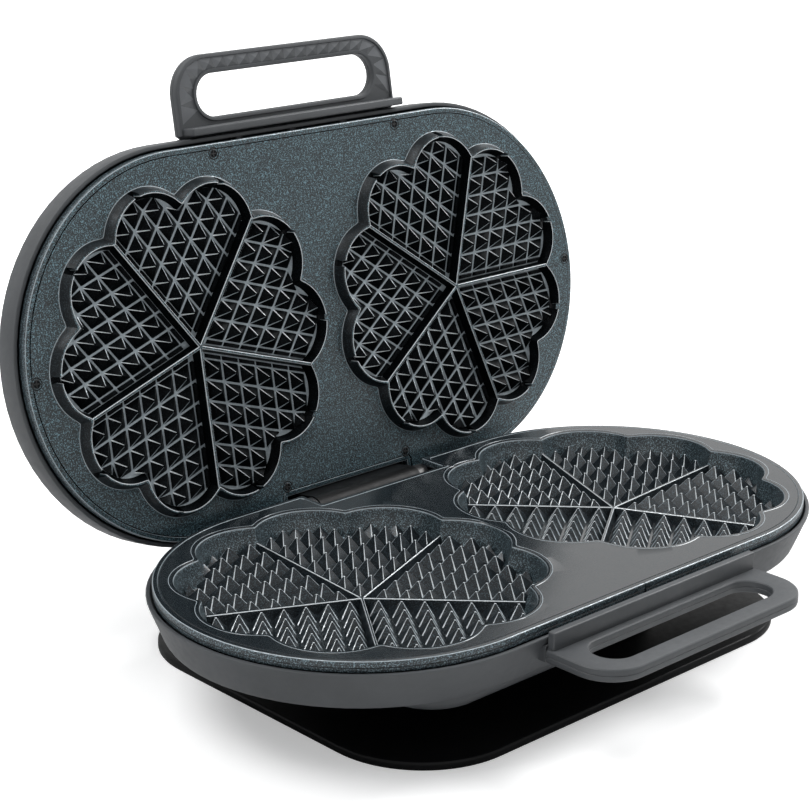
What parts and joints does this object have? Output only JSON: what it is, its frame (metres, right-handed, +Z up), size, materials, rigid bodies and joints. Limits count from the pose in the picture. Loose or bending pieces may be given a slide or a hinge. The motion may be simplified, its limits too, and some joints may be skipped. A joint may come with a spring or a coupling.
{
  "type": "waffle maker",
  "caption": "Long oval heart-waffle iron standing open: non-stick plates with flower recesses, rear-hinged lid, loop handles, cord-wrap neck and a thermostat knob on the lid.",
  "frame": {"origin": "on the underside of the base plate, straight below the middle of the lower cooking plate", "axes": "+X along the hinge line to the right, +Y to the back where the hinge is, +Z up"},
  "size_m": [0.421, 0.3473, 0.3116],
  "materials": {
    "charcoal_plastic": "fine moulded grain, satin",
    "black_plastic": "moulded, satin black",
    "nonstick_coating": "dark non-stick coating with fine metallic fleck on cast aluminium",
    "foot_rubber": "matt black rubber",
    "screw_steel": "zinc plated steel",
    "dark_screw": "blackened steel",
    "black_metal": "black enamel on die-cast metal",
    "heater_steel": "heat-tinted stainless steel",
    "bush_brass": "turned brass",
    "ceramic_white": "off-white moulding",
    "dial_print": "dark ring with plain pale numbers",
    "red_lens": "clear tinted red",
    "green_lens": "clear tinted green"
  },
  "bodies": {
    "lower_half": {"base_plate": "charcoal_plastic", "rubber_feet": "foot_rubber", "base_screws": "screw_steel", "cord_neck": "black_plastic", "neck_screws": "screw_steel", "cord_gland": "foot_rubber", "terminal_block": "ceramic_white", "lower_housing": "charcoal_plastic", "lower_plate_screws": "screw_steel", "lower_handle_screws": "screw_steel", "lower_cooking_plate": "nonstick_coating", "lower_heating_element_left": "heater_steel", "lower_heating_element_right": "heater_steel", "lower_element_clips": "heater_steel", "lower_heat_shield": "heater_steel", "lower_handle": "charcoal_plastic", "hinge_pin": "screw_steel", "hinge_ear_left": "black_metal", "hinge_ear_right": "black_metal", "hinge_ear_screws": "screw_steel"},
    "lid": {"upper_housing": "charcoal_plastic", "upper_cooking_plate": "nonstick_coating", "upper_plate_screws": "dark_screw", "upper_heating_element_left": "heater_steel", "upper_heating_element_right": "heater_steel", "upper_element_clips": "heater_steel", "upper_heat_shield": "heater_steel", "thermal_fuse": "ceramic_white", "upper_handle": "charcoal_plastic", "handle_grip_inlay": "charcoal_plastic", "upper_handle_screws": "screw_steel", "lid_hinge_arm": "black_plastic", "hinge_arm_screws": "screw_steel", "hinge_bushes": "bush_brass", "thermostat": "ceramic_white", "dial_ring": "dial_print", "power_lamp_lens": "red_lens", "ready_lamp_lens": "green_lens", "indicator_lamps": "ceramic_white"},
    "knob": {"thermostat_shaft": "screw_steel", "control_knob": "black_plastic"}
  },
  "joints": [
    {"name": "lid_hinge", "type": "hinge", "parent": "lower_half", "child": "lid", "pos_m": [0, 0.1075, 0.055], "axis": [1, 0, 0], "range_deg": [0, 100]},
    {"name": "knob_turn", "type": "hinge", "parent": "lid", "child": "knob", "pos_m": [0, 0.17336, 0.20332], "axis": [0, 0.9848, -0.1736], "range_deg": [0, 270]}
  ]
}
